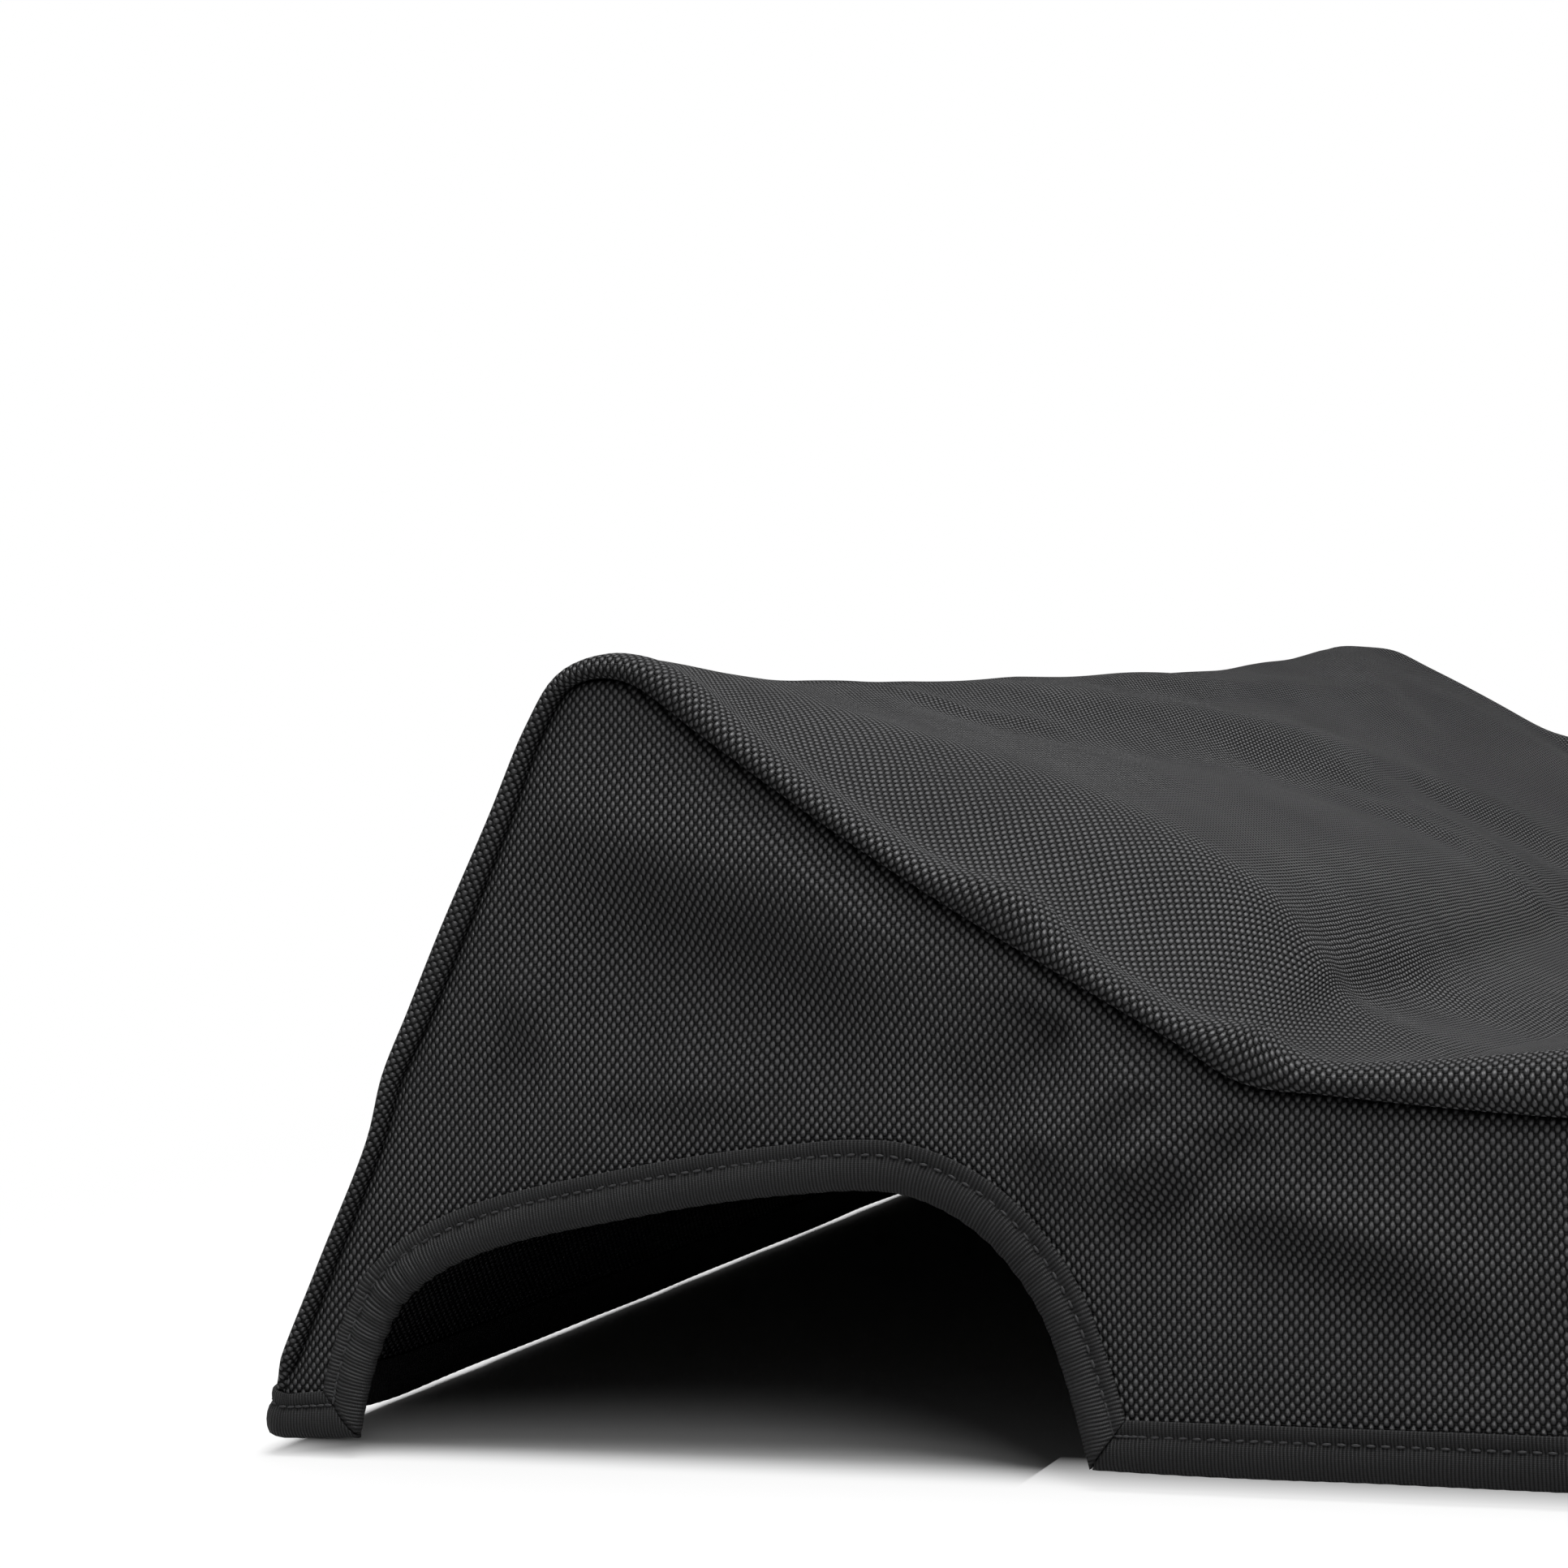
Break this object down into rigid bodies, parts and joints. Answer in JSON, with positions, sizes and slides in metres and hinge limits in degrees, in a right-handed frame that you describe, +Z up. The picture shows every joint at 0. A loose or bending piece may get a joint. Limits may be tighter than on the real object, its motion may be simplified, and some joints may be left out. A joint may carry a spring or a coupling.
{
  "type": "synthesizer dust cover",
  "caption": "Fitted black cloth cover for a compact keyboard instrument: sloping top, flat key lid, rolled side seams, taped hem and an arched cable cut-out.",
  "frame": {"origin": "underside of the rear top edge, midway between the two ends, where the cover sits on the instrument", "axes": "+X to the player's right, +Y to the rear, +Z up"},
  "size_m": [0.6958, 0.3858, 0.1832],
  "materials": {
    "strip_cloth": "coarse plain-woven nylon, matt black",
    "panel_cloth": "coarse plain-woven nylon, matt black",
    "ribbed_tape": "ribbed black binding tape with one row of stitches"
  },
  "bodies": {
    "root": {"centre_strip": "strip_cloth", "side_panel_left": "panel_cloth", "side_panel_right": "panel_cloth", "hem_binding": "ribbed_tape", "arch_binding": "ribbed_tape"}
  },
  "joints": []
}
